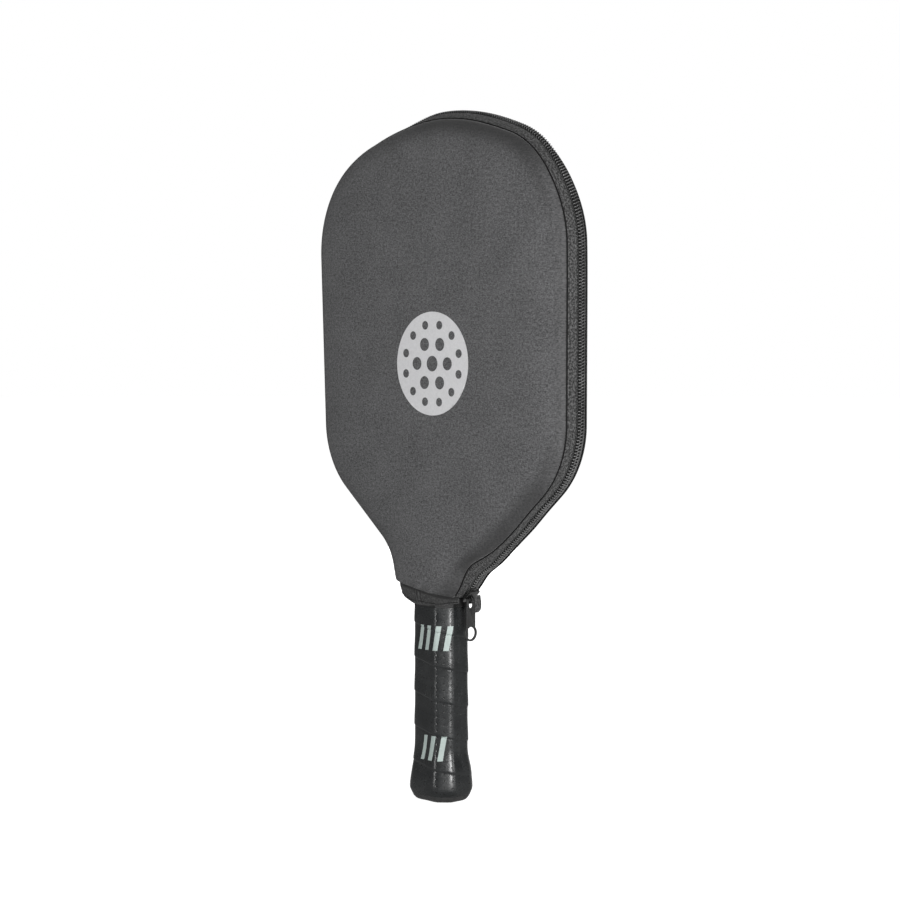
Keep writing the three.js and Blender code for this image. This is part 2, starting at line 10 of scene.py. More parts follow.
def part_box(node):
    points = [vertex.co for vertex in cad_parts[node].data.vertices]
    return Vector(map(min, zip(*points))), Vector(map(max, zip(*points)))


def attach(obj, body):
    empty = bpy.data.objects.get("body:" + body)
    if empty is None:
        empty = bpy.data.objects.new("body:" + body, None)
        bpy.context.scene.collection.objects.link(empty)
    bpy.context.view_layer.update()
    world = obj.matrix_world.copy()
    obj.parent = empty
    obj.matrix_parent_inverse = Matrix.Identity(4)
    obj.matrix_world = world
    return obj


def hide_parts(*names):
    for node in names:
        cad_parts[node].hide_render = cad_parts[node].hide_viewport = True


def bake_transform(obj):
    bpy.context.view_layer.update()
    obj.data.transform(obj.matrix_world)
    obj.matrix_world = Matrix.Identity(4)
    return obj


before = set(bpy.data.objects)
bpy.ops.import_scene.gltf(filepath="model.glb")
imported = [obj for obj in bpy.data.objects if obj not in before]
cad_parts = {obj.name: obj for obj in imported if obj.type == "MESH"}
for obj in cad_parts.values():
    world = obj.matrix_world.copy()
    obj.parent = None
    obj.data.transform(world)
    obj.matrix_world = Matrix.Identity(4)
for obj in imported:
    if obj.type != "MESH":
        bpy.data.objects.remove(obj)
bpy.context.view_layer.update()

# A paddle zipped into its soft padded case. Metres. +Z runs up the handle, -Y is the front of
# the case, +X is the side with the zip.

MM = 0.001

# ------------------------------ driving dimensions

# The case's outline at its seams: corners (x, z, rounding) in millimetres, from the mouth up
# the plain side, over the top and down the zip side. It runs on below the mouth at both ends.
CASE_CORNERS = [
    (-25.4, 112, 0), (-35.5, 152, 33), (-96, 202.5, 55), (-103, 383.5, 70),
    (6, 423, 165), (112, 385.5, 70), (111.5, 206.5, 55), (7.7, 115.1, 0),
]
# Sewn padding is never quite even: places (x, z, spread, amount out), in millimetres.
OUTLINE_EASE = [
    (-52, 400, 26, -2.6), (-20, 418, 13, -0.8), (18, 415, 24, -0.9), (56, 408, 18, -1.2),
    (100, 370, 20, -2.0), (34.7, 138.9, 7, -1.9), (70, 170, 8, 0.5),
]
MOUTH_TO_END = 15 * MM  # outline left over below the mouth on the zip side
MOUTH_LEFT = Vector((-31, 0, 134)) * MM
MOUTH_RIGHT = Vector((19, 0, 125.5)) * MM
MIDDLE = (5 * MM, 285 * MM)  # x, z of the panels' middle
ARC_STEP = 0.4 * MM  # between the outline's points

SEAM_Y = 8 * MM
PANEL_WALL = 2.4 * MM
BAND_WALL = 1.6 * MM
TAPE_WALL = 0.55 * MM
COLLAR_WALL = 1.7 * MM
TAIL_WALL = 0.7 * MM
ROLL_WIDTH = 9 * MM  # how far in from the seam the panel's edge rolls over
ROLL_DEPTH = 4.3 * MM
CROWN_WIDTH = 18 * MM  # the panel goes on rising gently over this distance
CROWN_DEPTH = 2.5 * MM
HANDLE_SWELL = 2.4 * MM  # and it stands out this much more over the handle,
HANDLE_SWELL_SPREAD = 17 * MM  # close to the mouth
SWELL_MOST = 1.2 * MM  # the most that the padding's pressure moves it

CREASE_LOW = Vector((-25, 0, 118)) * MM
CREASE_HIGH = Vector((-38, 0, 412)) * MM
FOLD_HALF_WIDTH = 5.5 * MM  # the cloth bends over this far on each side of the crease

ZIP_START_X = -37.3 * MM
ZIP_Y_LOW = 0.5 * MM  # the chain's place across the band, beside the slider
ZIP_Y_HIGH = 1.6 * MM  # and higher up
ZIP_STRAIGHT_TO = 90 * MM  # it runs straight and flat up to here, from the mouth,
ZIP_EASED_FROM = 160 * MM  # and has its full bulge from here on
SEAM_DRAWN = 4.4 * MM  # how far in the slider draws the front seam,
SEAM_DRAWN_AT = 27 * MM  # most at this distance from the mouth,
SEAM_DRAWN_SPREAD = 11 * MM  # and how widely
ZIP_BULGE = 1.3 * MM  # how far the zip's middle stands out of the case's outline,
ZIP_TOP_BULGE = 2.1 * MM  # and how much more over the top of the case
COIL_PITCH = 1.8 * MM
COIL_WIRE = 0.34 * MM  # radius of the coil's filament
COIL_MIDDLE = 1.15 * MM  # the coil's own middle, to its side of the chain's
COIL_HALF_WIDTH = 1.25 * MM
COIL_HALF_HEIGHT = 0.62 * MM
CORD_RADIUS = 0.45 * MM
STITCH_RADIUS = 0.17 * MM
SLIDER_TOP = 11 * MM  # the slider's upper end, along the zip from the mouth

HANDLE_HALF = (17 * MM, 14 * MM)
HANDLE_BEVEL = 7.7 * MM
GRIP_RADIUS = 16.3 * MM  # on average
WRAP_PITCH = 21 * MM
WRAP_STEP = 0.6 * MM  # how far one turn of the wrap stands over the next

CAMERA_AZIMUTH = 46.4  # degrees
CAMERA_ELEVATION = 3.0
CAMERA_DISTANCE = 1.29
CAMERA_TARGET_Z = 0.2134
CAMERA_ASIDE = 5.3 * MM  # the view's middle lies this far to the right of the handle's axis
ROOM_LIGHT = 0.22
FLOOR_GLOW = 0.9  # only the camera sees this, so it throws no light on the case


# ------------------------------ camera, floor and light

def look_at(name, data, target, azimuth, elevation, distance):
    """Places a camera or a light so that it looks at a target. Its angles are in degrees."""
    looker = bpy.data.objects.new(name, data)
    bpy.context.scene.collection.objects.link(looker)
    azimuth, elevation = math.radians(azimuth), math.radians(elevation)
    back = Vector((
        math.sin(azimuth) * math.cos(elevation), -math.cos(azimuth) * math.cos(elevation),
        math.sin(elevation)))
    looker.location = target + back * distance
    looker.rotation_euler = (-back).to_track_quat("-Z", "Y").to_euler()
    return looker


def make_camera():
    data = bpy.data.cameras.new("camera")
    data.lens = 85
    data.sensor_width = 36
    data.clip_start = 0.05
    azimuth = math.radians(CAMERA_AZIMUTH)
    aside = Vector((math.cos(azimuth), math.sin(azimuth), 0)) * CAMERA_ASIDE
    bpy.context.scene.camera = look_at(
        "camera", data, Vector((0, 0, CAMERA_TARGET_Z)) + aside, CAMERA_AZIMUTH,
        CAMERA_ELEVATION, CAMERA_DISTANCE)


def area_light(name, height, azimuth, elevation, distance, size, power):
    data = bpy.data.lights.new(name, "AREA")
    data.shape = "RECTANGLE"
    data.size, data.size_y = size
    data.energy = power
    look_at(name, data, Vector((0, 0, height)), azimuth, elevation, distance)


def make_stage():
    bpy.ops.mesh.primitive_circle_add(vertices=96, radius=9, fill_type="NGON", location=(0, 0, 0))
    floor = bpy.context.object
    floor.name = "floor"
    m = Nodes(
        "floor_white", 0.9, Base_Color=grey(0.6), Specular_IOR_Level=0.1,
        Emission_Color=grey(1.0))
    seen = m.add("ShaderNodeLightPath").outputs["Is Camera Ray"]
    m.put(m.shader.inputs["Emission Strength"], m.math("MULTIPLY", seen, FLOOR_GLOW))
    floor.data.materials.append(m.material)

    world = bpy.data.worlds.new("studio")
    world.use_nodes = True
    nodes = world.node_tree.nodes
    backdrop, room = nodes["Background"], nodes.new("ShaderNodeBackground")
    for background, strength in ((backdrop, 1.0), (room, ROOM_LIGHT)):
        background.inputs["Color"].default_value = grey(1.0)
        background.inputs["Strength"].default_value = strength
    seen, either = nodes.new("ShaderNodeLightPath"), nodes.new("ShaderNodeMixShader")
    for output, socket in (
            (seen.outputs["Is Camera Ray"], either.inputs[0]),
            (room.outputs[0], either.inputs[1]), (backdrop.outputs[0], either.inputs[2]),
            (either.outputs[0], nodes["World Output"].inputs["Surface"])):
        world.node_tree.links.new(output, socket)
    bpy.context.scene.world = world
    bpy.context.scene.view_settings.view_transform = "Standard"

    area_light("key_right", 0.29, 64, 2, 1.0, (0.2, 0.6), 11.0)
    area_light("strip_right", 0.2, 92, 2, 1.1, (0.1, 0.8), 2.4)
    area_light("strip_front", 0.2, -4, 2, 1.4, (0.16, 0.9), 5.3)
    area_light("soft_back", 0.25, 222, 10, 1.5, (0.9, 1.1), 9.0)


# ------------------------------ the outline as a path

class Path:
    """Straight lines with rounded corners in the X-Z plane, measured by length."""

    def __init__(self, corners):
        first, last = (np.array([corner[:2]]) * MM for corner in (corners[0], corners[-1]))
        arcs = [self.arc(*three) for three in zip(corners, corners[1:], corners[2:])]
        self.points = np.concatenate([first, *arcs, last])
        self.measure()

    def measure(self):
        runs = np.linalg.norm(np.diff(self.points, axis=0), axis=1)
        self.along = np.concatenate([[0], np.cumsum(runs)])
        self.length = self.along[-1]

    def soften(self, places):
        """Lets the line swell or sink near some places (x, z, spread, amount), in mm."""
        along = np.linspace(0, self.length, int(self.length / MM))
        x, z = self.at(along)
        out = np.zeros_like(x)
        for near_x, near_z, spread, amount in places:
            away = np.hypot(x - near_x * MM, z - near_z * MM) / (spread * MM)
            out += amount * MM * np.exp(-away * away / 2)
        self.points = np.stack(self.at(along, out), axis=1)
        self.measure()

    @staticmethod
    def arc(before, corner, after):
        """A corner's rounding."""
        middle, radius = np.array(corner[:2]) * MM, corner[2] * MM
        back, on = (np.array(end[:2]) * MM - middle for end in (before, after))
        back, on = back / np.linalg.norm(back), on / np.linalg.norm(on)
        half = math.acos(back @ on) / 2
        run = radius / math.tan(half)
        centre = middle + (back + on) / np.linalg.norm(back + on) * radius / math.sin(half)
        first, last = middle + back * run - centre, middle + on * run - centre
        start = math.atan2(first[1], first[0])
        turn = (math.atan2(last[1], last[0]) - start + math.pi) % (2 * math.pi) - math.pi
        count = max(4, int(abs(turn) * radius / ARC_STEP))
        angles = start + turn * np.linspace(0, 1, count + 1)
        return centre + radius * np.stack([np.cos(angles), np.sin(angles)], axis=1)

    def at(self, along, out=0.0):
        """Points (x, z) at distances along the path, moved out square to it."""
        along = np.asarray(along, float)
        x = np.interp(along, self.along, self.points[:, 0])
        z = np.interp(along, self.along, self.points[:, 1])
        ahead = np.minimum(along + 0.6 * MM, self.length)
        behind = np.maximum(along - 0.6 * MM, 0)
        way_x, way_z = (
            np.interp(ahead, self.along, line) - np.interp(behind, self.along, line)
            for line in self.points.T)
        size = np.hypot(way_x, way_z)
        return x - way_z / size * out, z + way_x / size * out


case = Path(CASE_CORNERS)
case.soften(OUTLINE_EASE)
mouth_side = case.length - MOUTH_TO_END
top_half = np.linspace(0.3, 0.6, 2000) * case.length
zip_start = float(np.interp(ZIP_START_X, case.at(top_half)[0], top_half))

crease_way = (CREASE_HIGH - CREASE_LOW).normalized()
crease_middle = (CREASE_LOW + CREASE_HIGH) / 2
across_crease = Vector((crease_way.z, 0, -crease_way.x)) * FOLD_HALF_WIDTH


def smooth(value, low, high):
    t = np.clip((np.asarray(value, float) - low) / (high - low), 0, 1)
    return t * t * (3 - 2 * t)


def raised(along):
    """0 where the slider runs, and 1 from ZIP_EASED_FROM on."""
    return smooth(mouth_side - np.asarray(along, float), ZIP_STRAIGHT_TO, ZIP_EASED_FROM)


def zip_y(along):
    """The chain's place across the band."""
    return ZIP_Y_LOW + (ZIP_Y_HIGH - ZIP_Y_LOW) * raised(along)


def zip_out(along):
    """How far the zip's middle bulges out: flat where the slider runs, fullest on top."""
    height = case.at(along)[1]
    top = smooth(height, 380 * MM, 412 * MM) * smooth(along, zip_start, zip_start + 40 * MM)
    return ZIP_BULGE * raised(along) + ZIP_TOP_BULGE * top


def seam_out(along, side):
    """How far the panel's seam lies out of line: the front one is drawn in by the slider."""
    if side > 0:
        return np.zeros_like(np.asarray(along, float))
    from_mouth = mouth_side - np.asarray(along, float)
    away = (from_mouth - SEAM_DRAWN_AT) / SEAM_DRAWN_SPREAD
    return -SEAM_DRAWN * np.exp(-(away ** 2) / 2)


def rounded(value, power):
    """A sine or cosine raised to a power under 1, which squares the shape it draws."""
    return np.sign(value) * np.abs(value) ** power


def mouth_z(x):
    slope = (MOUTH_RIGHT.z - MOUTH_LEFT.z) / (MOUTH_RIGHT.x - MOUTH_LEFT.x)
    return MOUTH_LEFT.z + slope * (np.asarray(x, float) - MOUTH_LEFT.x)


# ------------------------------ mesh building

def mesh_object(name, points, faces, uvs=None, materials=()):
    mesh = bpy.data.meshes.new(name)
    mesh.from_pydata([tuple(p) for p in points], [], [tuple(f) for f in faces])
    if uvs is not None:
        layer = mesh.uv_layers.new(name="UVMap")
        index = np.empty(len(mesh.loops), np.int32)
        mesh.loops.foreach_get("vertex_index", index)
        layer.data.foreach_set("uv", np.asarray(uvs, np.float32)[index].ravel())
    mesh.polygons.foreach_set("use_smooth", [True] * len(mesh.polygons))
    for material in materials:
        mesh.materials.append(material)
    piece = bpy.data.objects.new(name, mesh)
    bpy.context.scene.collection.objects.link(piece)
    return piece


def grid_faces(rows, columns, closed=False):
    """Quads over a grid of points counted row by row. Each row can close on itself."""
    faces = []
    for r in range(rows - 1):
        for c in range(columns if closed else columns - 1):
            near, far = r * columns, (r + 1) * columns
            after = (c + 1) % columns
            faces.append((near + c, near + after, far + after, far + c))
    return faces


def grid_object(name, points, uvs, material):
    """A surface through a grid of points of shape (rows, columns, 3)."""
    faces = grid_faces(*points.shape[:2])
    return mesh_object(name, points.reshape(-1, 3), faces, uvs.reshape(-1, 2), [material])


def face_out(piece, outward):
    """Turns a surface's faces so that most look along outward(middle of face)."""
    mesh = piece.data
    total = sum(p.normal.dot(outward(p.center)) * p.area for p in mesh.polygons)
    if total < 0:
        mesh.flip_normals()
    return piece


def modify(piece, kind, **settings):
    modifier = piece.modifiers.new(kind.lower(), kind)
    for key, value in settings.items():
        setattr(modifier, key, value)
    return modifier


def apply_modifiers(piece):
    depsgraph = bpy.context.evaluated_depsgraph_get()
    made = bpy.data.meshes.new_from_object(piece.evaluated_get(depsgraph))
    old = piece.data
    piece.modifiers.clear()
    piece.data = made
    bpy.data.meshes.remove(old)
    made.name = piece.name
    return piece


def thicken(piece, thickness, inside=None):
    """Gives a surface a thickness behind its faces, with its own material on the inside."""
    if inside is not None:
        piece.data.materials.append(inside)
    modify(
        piece, "SOLIDIFY", thickness=thickness, offset=-1, use_even_offset=True,
        use_quality_normals=True, material_offset=0 if inside is None else 1)
    return apply_modifiers(piece)


def edit_mesh(piece, change):
    """Runs change(bmesh) on a piece's mesh."""
    bm = bmesh.new()
    bm.from_mesh(piece.data)
    change(bm)
    bm.to_mesh(piece.data)
    bm.free()


def divide(bm, place, normal, **settings):
    """Cuts a mesh's faces along a plane."""
    whole = bm.verts[:] + bm.edges[:] + bm.faces[:]
    bmesh.ops.bisect_plane(bm, geom=whole, plane_co=place, plane_no=normal, **settings)


def cut_at_mouth(piece):
    """Removes what lies below the mouth of the case."""
    normal = (MOUTH_RIGHT - MOUTH_LEFT).cross(Vector((0, 1, 0)))
    edit_mesh(piece, lambda bm: divide(bm, MOUTH_LEFT, normal, clear_inner=True))


def tube_along(x, y, z, radius, sides=6, ups=(0.0, 1.0, 0.0)):
    """Points and faces of a closed tube through a line of points."""
    points = np.stack([x, y, z], axis=1)
    way = np.gradient(points, axis=0)
    way /= np.linalg.norm(way, axis=1)[:, None]
    side = np.cross(way, ups)
    side /= np.maximum(np.linalg.norm(side, axis=1), 1e-9)[:, None]
    up = np.cross(side, way)
    angles = np.arange(sides) / sides * 2 * math.pi
    rings = points[:, None] + radius * (
        np.cos(angles)[None, :, None] * side[:, None]
        + np.sin(angles)[None, :, None] * up[:, None])
    faces = grid_faces(len(points), sides, closed=True)
    faces.append(tuple(range(sides))[::-1])
    faces.append(tuple((len(points) - 1) * sides + i for i in range(sides)))
    return rings.reshape(-1, 3), faces


def joined_object(name, parts, material):
    """One piece from many (points, faces)."""
    points, faces = [], []
    for part_points, part_faces in parts:
        shift = sum(len(p) for p in points)
        points.append(np.asarray(part_points))
        faces.extend(tuple(shift + i for i in face) for face in part_faces)
    piece = mesh_object(name, np.concatenate(points), faces, None, [material])
    edit_mesh(piece, lambda bm: bmesh.ops.recalc_face_normals(bm, faces=bm.faces[:]))
    return piece


# ------------------------------ materials

class Nodes:
    """A material's nodes, made in the order they are used."""

    def __init__(self, name, roughness, **sockets):
        self.material = bpy.data.materials.new(name)
        self.material.use_nodes = True
        self.tree = self.material.node_tree
        self.shader = self.tree.nodes["Principled BSDF"]
        self.shader.inputs["Roughness"].default_value = roughness
        for socket, value in sockets.items():
            self.shader.inputs[socket.replace("_", " ")].default_value = value

    def add(self, kind, inputs=None, **settings):
        node = self.tree.nodes.new(kind)
        for key, value in settings.items():
            setattr(node, key, value)
        for key, value in (inputs or {}).items():
            self.put(node.inputs[key], value)
        return node

    def put(self, socket, value):
        if isinstance(value, bpy.types.NodeSocket):
            self.tree.links.new(value, socket)
        else:
            socket.default_value = value

    def math(self, operation, *values):
        node = self.add("ShaderNodeMath", operation=operation)
        for i, value in enumerate(values):
            self.put(node.inputs[i], value)
        return node.outputs[0]

    def total(self, *terms):
        """The sum of some values, each given with its weight."""
        result = 0.0
        for value, weight in terms:
            result = self.math("MULTIPLY_ADD", value, weight, result)
        return result

    def mix(self, factor, first, second):
        node = self.add("ShaderNodeMix", data_type="RGBA")
        self.put(node.inputs[0], factor)
        self.put(node.inputs[6], first)
        self.put(node.inputs[7], second)
        return node.outputs[2]

    def uv(self):
        """The piece's UV map, and its U and V."""
        uv = self.add("ShaderNodeUVMap", uv_map="UVMap").outputs[0]
        return uv, *self.split(uv)[0:2]

    def place(self):
        return self.add("ShaderNodeTexCoord").outputs["Object"]

    def noise(self, vector, scale, detail=3.0, roughness=0.6):
        node = self.add("ShaderNodeTexNoise", {
            "Vector": vector, "Scale": scale, "Detail": detail, "Roughness": roughness})
        return node.outputs[0]

    def scaled(self, vector, x, y, z=1.0):
        node = self.add("ShaderNodeVectorMath", {0: vector, 1: (x, y, z)}, operation="MULTIPLY")
        return node.outputs[0]

    def ramp(self, value, low, high, to_low=0.0, to_high=1.0):
        node = self.add("ShaderNodeMapRange", {
            "Value": value, "From Min": low, "From Max": high,
            "To Min": to_low, "To Max": to_high})
        return node.outputs[0]

    def wave(self, value, count):
        """A smooth ripple from 0 to 1 with so many crests for each unit of value."""
        sine = self.math("SINE", self.math("MULTIPLY", value, count * 2 * math.pi))
        return self.math("MULTIPLY_ADD", sine, 0.5, 0.5)

    def split(self, vector):
        return self.add("ShaderNodeSeparateXYZ", {0: vector}).outputs

    def colour(self, socket):
        self.put(self.shader.inputs["Base Color"], socket)

    def bump(self, height, strength, distance):
        node = self.add("ShaderNodeBump", {
            "Height": height, "Strength": strength, "Distance": distance})
        self.put(self.shader.inputs["Normal"], node.outputs[0])

    def rough(self, socket):
        self.put(self.shader.inputs["Roughness"], socket)


def grey(value, tint=1.0):
    return (value, value, value * tint, 1)


def knit_cloth(name, dark, light):
    """Heathered knit laminated on foam: fine crossed rows, mottled fibres, faint clouds.

    It has painted shade towards a seam, most where the rim slopes, as a layer on the mesh gives
    it.
    """
    m = Nodes(name, 0.78, Sheen_Weight=0.15, Sheen_Roughness=0.45)
    uv, u, v = m.uv()
    fibre = m.noise(m.scaled(uv, 900, 1250), 1.0, 2.0, 0.5)
    heather = m.noise(m.scaled(uv, 480, 560), 1.0, 2.0, 0.6)
    cloud = m.noise(uv, 40, 3.0, 0.6)
    mottled = m.total((fibre, 0.5), (heather, 0.38), (cloud, 0.12))
    tone = m.mix(m.ramp(mottled, 0.36, 0.66), grey(dark, 1.03), grey(light, 1.03))
    # painted shade along the panel's rim: the colour goes towards a third of the darkest tone
    painted_rim_shade = m.add("ShaderNodeAttribute", attribute_name="painted_rim_shade").outputs["Fac"]
    m.colour(m.mix(m.math("MULTIPLY", painted_rim_shade, 0.8), tone, grey(dark * 0.35)))
    rows = m.math("MULTIPLY", m.wave(u, 1250), m.wave(v, 1000))
    m.bump(m.total((rows, 0.6), (fibre, 0.9)), 0.35, 0.00025)
    m.rough(m.ramp(heather, 0.3, 0.7, 0.72, 0.86))
    return m.material


def woven_tape(name, dark, light):
    """Herringbone zip tape, near-black where the coil is stitched down: painted shade under the
    coil.

    U runs along the tape and V across it from the coil's edge, in metres.
    """
    m = Nodes(name, 0.82, Sheen_Weight=0.1, Sheen_Roughness=0.5)
    uv, u, v = m.uv()
    zigzag = m.math("PINGPONG", v, 0.0011)
    twill = m.wave(m.total((u, 1.0), (zigzag, 1.2)), 1150)
    warp = m.wave(v, 1250)
    fibre = m.noise(uv, 1300, 2.0, 0.6)
    speck = m.noise(m.scaled(uv, 760, 900), 1.0, 2.0, 0.5)
    thread = m.total((twill, 0.5), (warp, 0.5))
    tone = m.total((thread, 0.2), (fibre, 0.25), (speck, 0.7))
    woven = m.mix(m.ramp(tone, 0.53, 0.67), grey(dark), grey(light))
    # painted shade under the coil: near-black within 1.6 mm of the coil's edge, fading out by 2.4
    # mm
    m.colour(m.mix(m.ramp(v, 0.0016, 0.0024), grey(0.003), woven))
    m.bump(m.total((thread, 1.0), (fibre, 0.6)), 0.6, 0.0003)
    return m.material


def bound_cloth(name, dark, light):
    """Ribbed binding round the mouth, with painted shade just below where it is sewn on. V runs
    down from that line.
    """
    m = Nodes(name, 0.85, Sheen_Weight=0.12, Sheen_Roughness=0.5)
    uv, u, v = m.uv()
    rib = m.wave(u, 780)
    across = m.wave(v, 1100)
    fibre = m.noise(uv, 750, 2.0, 0.6)
    thread = m.math("MULTIPLY", rib, m.math("MULTIPLY_ADD", across, 0.5, 0.5))
    tone = m.total((thread, 0.3), (fibre, 0.8))
    ribbed = m.mix(m.ramp(tone, 0.45, 0.7), grey(dark), grey(light))
    # painted shade under the panel's edge: near-black down to 0.7 mm below the sewn line, fading
    # out by 1.4 mm
    m.colour(m.mix(m.ramp(v, 0.0007, 0.0014), grey(0.001), ribbed))
    m.bump(m.total((thread, 1.0), (fibre, 0.5)), 0.6, 0.0003)
    return m.material


def fleece(name, dark, light):
    m = Nodes(name, 0.95, Sheen_Weight=0.12, Sheen_Roughness=0.6)
    place = m.place()
    tuft = m.noise(place, 700, 5.0, 0.8)
    patch = m.noise(place, 60, 3.0, 0.6)
    m.colour(m.mix(
        m.ramp(m.total((tuft, 0.7), (patch, 0.3)), 0.35, 0.65), grey(dark), grey(light)))
    m.bump(tuft, 0.8, 0.0006)
    return m.material


def grain(name, dark, light, roughness, scale, bump, metal=0.0, coat=0.0, specular=0.5):
    """Moulded, painted or cast surface: fine grain, soft blotches and worn lighter specks."""
    m = Nodes(name, roughness, Metallic=metal, Coat_Weight=coat, Specular_IOR_Level=specular)
    place = m.place()
    fine = m.noise(place, scale, 4.0, 0.65)
    blotch = m.noise(place, scale * 0.08, 3.0, 0.6)
    m.colour(m.mix(m.ramp(m.total((fine, 0.5), (blotch, 0.5)), 0.35, 0.65), dark, light))
    m.rough(m.ramp(blotch, 0.35, 0.65, roughness * 0.85, min(1.0, roughness * 1.2)))
    m.bump(fine, bump, 0.0002)
    return m.material


def carbon(name):
    """Peel-ply carbon: a fine crossed weave under a gritty matt skin."""
    m = Nodes(name, 0.6)
    x, _, z = m.split(m.place())[0:3]
    weave = m.math(
        "MULTIPLY", m.wave(m.math("ADD", x, z), 420), m.wave(m.math("SUBTRACT", x, z), 420))
    grit = m.noise(m.place(), 2200, 3.0, 0.7)
    tone = m.total((weave, 0.6), (grit, 0.4))
    m.colour(m.mix(m.ramp(tone, 0.2, 0.8), grey(0.012), grey(0.045)))
    m.bump(tone, 0.4, 0.0002)
    return m.material


def wrap_skin(name):
    """Tacky perforated grip. U runs round the handle and V up it, in metres."""
    m = Nodes(name, 0.42, Specular_IOR_Level=0.5)
    uv, u, v = m.uv()
    up_wrap = m.total((v, 1.0), (u, WRAP_PITCH / (2 * math.pi * GRIP_RADIUS)))
    spot_uv = m.add("ShaderNodeCombineXYZ", {0: u, 1: up_wrap}).outputs[0]
    spots = m.add("ShaderNodeTexVoronoi", {
        "Vector": spot_uv, "Scale": 240.0, "Randomness": 0.0}, voronoi_dimensions="2D")
    hole = m.ramp(spots.outputs["Distance"], 0.09, 0.15)
    pore = m.noise(uv, 1300, 4.0, 0.7)
    patch = m.noise(uv, 70, 4.0, 0.65)
    tone = m.total((pore, 0.4), (patch, 0.6))
    skin = m.mix(m.ramp(tone, 0.35, 0.65), (0.008, 0.009, 0.0095, 1), (0.02, 0.0215, 0.022, 1))
    m.colour(m.mix(hole, (0.004, 0.004, 0.004, 1), skin))
    m.rough(m.ramp(patch, 0.3, 0.7, 0.16, 0.33))
    m.bump(m.total((hole, 1.0), (pore, 0.18)), 0.5, 0.0004)
    return m.material


def ink(name, colour, roughness):
    m = Nodes(name, roughness)
    place = m.place()
    worn = m.noise(place, 900, 4.0, 0.7)
    m.colour(m.mix(m.ramp(worn, 0.3, 0.7), tuple(c * 0.86 for c in colour[:3]) + (1,), colour))
    m.bump(worn, 0.25, 0.0002)
    return m.material


CLOTH = knit_cloth("case_knit", 0.022, 0.128)
LINING = fleece("case_lining", 0.02, 0.05)
TAPE = woven_tape("zip_tape_weave", 0.003, 0.084)
BINDING = bound_cloth("collar_binding", 0.002, 0.062)
THREAD = grain("sewing_thread", grey(0.002), grey(0.008), 0.85, 1800, 0.6, specular=0.2)
NYLON = grain("zip_nylon", grey(0.03), grey(0.13), 0.33, 900, 0.2)
SLIDER_METAL = grain(
    "slider_lacquer", grey(0.008), grey(0.02), 0.26, 600, 0.15, metal=0.3, coat=0.5)
TAB_METAL = grain("tab_lacquer", grey(0.02), grey(0.04), 0.45, 700, 0.25, metal=0.3)
WRAP = wrap_skin("grip_skin")
GRIP_INK = ink("grip_print", (0.36, 0.42, 0.40, 1), 0.5)
CASE_INK = ink("case_print", (0.6, 0.6, 0.61, 1), 0.6)
BUTT = grain("butt_plastic", grey(0.014), grey(0.036), 0.27, 500, 0.25)
EDGE = grain("edge_plastic", grey(0.01), grey(0.022), 0.5, 600, 0.2)
CARBON = carbon("carbon_face")
CORE = grain("polymer_core", (0.2, 0.19, 0.175, 1), (0.32, 0.31, 0.285, 1), 0.6, 300, 0.3)
FOAM = grain("handle_foam", (0.22, 0.21, 0.19, 1), (0.36, 0.34, 0.31, 1), 0.9, 1200, 0.7)
FINISH_TAPE = grain("finishing_tape", grey(0.008), grey(0.02), 0.3, 400, 0.15)


# ------------------------------ panels

def panel_depth(inset, x, z):
    """How far the panel's outer face stands from the middle, by distance in from the seam."""
    roll = np.clip(np.asarray(inset, float) / ROLL_WIDTH, 0, 1)
    rolled = (1 - (1 - roll) ** 2.4) ** (1 / 2.0)
    crown = 1 - np.exp(-np.asarray(inset, float) / CROWN_WIDTH)
    over_handle = np.exp(-((z - mouth_z(x)) / HANDLE_SWELL_SPREAD) ** 2)
    over_handle = over_handle * smooth(inset, 0, PANEL_INSETS[-1])
    return SEAM_Y + ROLL_DEPTH * rolled + CROWN_DEPTH * crown + HANDLE_SWELL * over_handle


PANEL_INSETS = np.array([0.0, 0.25, 0.6, 1.1, 1.8, 2.7, 3.8, 5.2, 7.0, 9.2, 12.0]) * MM
TOWARDS_MIDDLE = np.array([0.06, 0.13, 0.21, 0.3, 0.4, 0.51, 0.63, 0.76, 0.9])
HUB_INSET = 90 * MM  # how far in from the seam the middle counts as lying
OUTLINE_POINTS = 300
CLOSING_POINTS = 12  # across the mouth
RING_POINTS = OUTLINE_POINTS + CLOSING_POINTS


def rim_shade_amount(inset, way_up, x):
    """How much painted shade the cloth gets: near the seam, and most where the rim slopes."""
    near = 1 - smooth(inset, 1.5 * MM, 15 * MM)
    plain_side = 0.45 + 0.55 * smooth(x, -70 * MM, 10 * MM)
    sloping = near * (0.04 + 0.96 * np.minimum(1, 1.25 * np.abs(way_up)) ** 1.5) * plain_side
    return np.maximum(sloping, 0.5 * (1 - smooth(inset, 1 * MM, 7 * MM)))


def panel_rings(side):
    """Rings of (x, z, inset, way_up) from the seam to the middle of a panel."""
    along = np.linspace(0, case.length, OUTLINE_POINTS)
    way_up = (case.at(along, MM)[1] - case.at(along)[1]) / MM
    way_up = np.concatenate([way_up, np.zeros(CLOSING_POINTS)])
    drawn = seam_out(along, side)
    rings = []
    for inset in PANEL_INSETS:
        x, z = case.at(along, drawn * (1 - inset / PANEL_INSETS[-1]) - inset)
        closing = np.linspace(0, 1, CLOSING_POINTS + 2)[1:-1]
        x = np.concatenate([x, x[-1] + (x[0] - x[-1]) * closing])
        z = np.concatenate([z, z[-1] + (z[0] - z[-1]) * closing])
        rings.append(np.stack([x, z, np.full_like(x, inset), way_up], axis=1))
    last = rings[-1]
    for share in TOWARDS_MIDDLE:
        x = last[:, 0] + (MIDDLE[0] - last[:, 0]) * share
        z = last[:, 1] + (MIDDLE[1] - last[:, 1]) * share
        reach = np.hypot(x - last[:, 0], z - last[:, 1])
        rings.append(np.stack([x, z, PANEL_INSETS[-1] + reach * 0.9, way_up], axis=1))
    return rings


